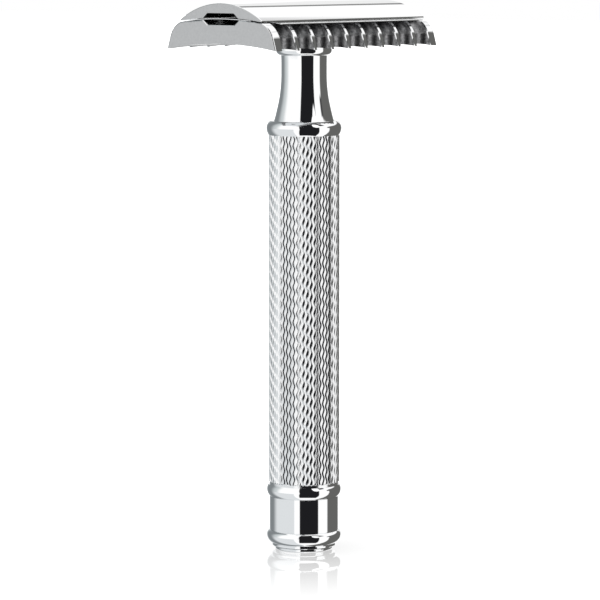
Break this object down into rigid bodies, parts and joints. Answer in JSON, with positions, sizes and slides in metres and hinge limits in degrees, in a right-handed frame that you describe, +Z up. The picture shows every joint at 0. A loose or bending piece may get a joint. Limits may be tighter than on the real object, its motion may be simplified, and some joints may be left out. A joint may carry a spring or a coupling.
{
  "type": "safety razor",
  "caption": "Double-edge safety razor with an open comb head, an arched cap, a bent blade and a slim engraved handle that screws on from below.",
  "frame": {"origin": "centre of the foot's underside, where the razor stands on a shelf", "axes": "+Z up the handle to the head, X along the blade's long axis, Y across the head towards one cutting edge"},
  "size_m": [0.043, 0.024, 0.094],
  "materials": {
    "polished_chrome": "polished",
    "engraved_chrome": "polished",
    "blade_steel": "satin",
    "plain_steel": "satin"
  },
  "bodies": {
    "handle": {"neck": "polished_chrome", "collar_ring": "polished_chrome", "grip_tube": "engraved_chrome", "tie_rod": "plain_steel", "bead_ring": "polished_chrome", "pommel_band": "polished_chrome", "pommel_cap": "polished_chrome"},
    "base": {"base_plate": "polished_chrome"},
    "blade": {"razor_blade": "blade_steel"},
    "top": {"cap": "polished_chrome", "cap_stud": "plain_steel", "locating_pin_left": "plain_steel", "locating_pin_right": "plain_steel"}
  },
  "joints": [
    {"name": "head_turn", "type": "hinge", "parent": "handle", "child": "base", "pos_m": [0, 0, 0.087], "axis": [0, 0, 1], "range_deg": [0, 3600]},
    {"name": "cap_lift", "type": "slide", "parent": "base", "child": "top", "axis": [0, 0, 1], "range_m": [0, 0.00801]},
    {"name": "blade_lift", "type": "slide", "parent": "base", "child": "blade", "axis": [0, 0, 1], "range_m": [0, 0.00401]}
  ],
  "couplings": [
    {"joint": "cap_lift", "follows": "head_turn", "m_per_rad": 0.00012732},
    {"joint": "blade_lift", "follows": "head_turn", "m_per_rad": 0.000063662}
  ]
}
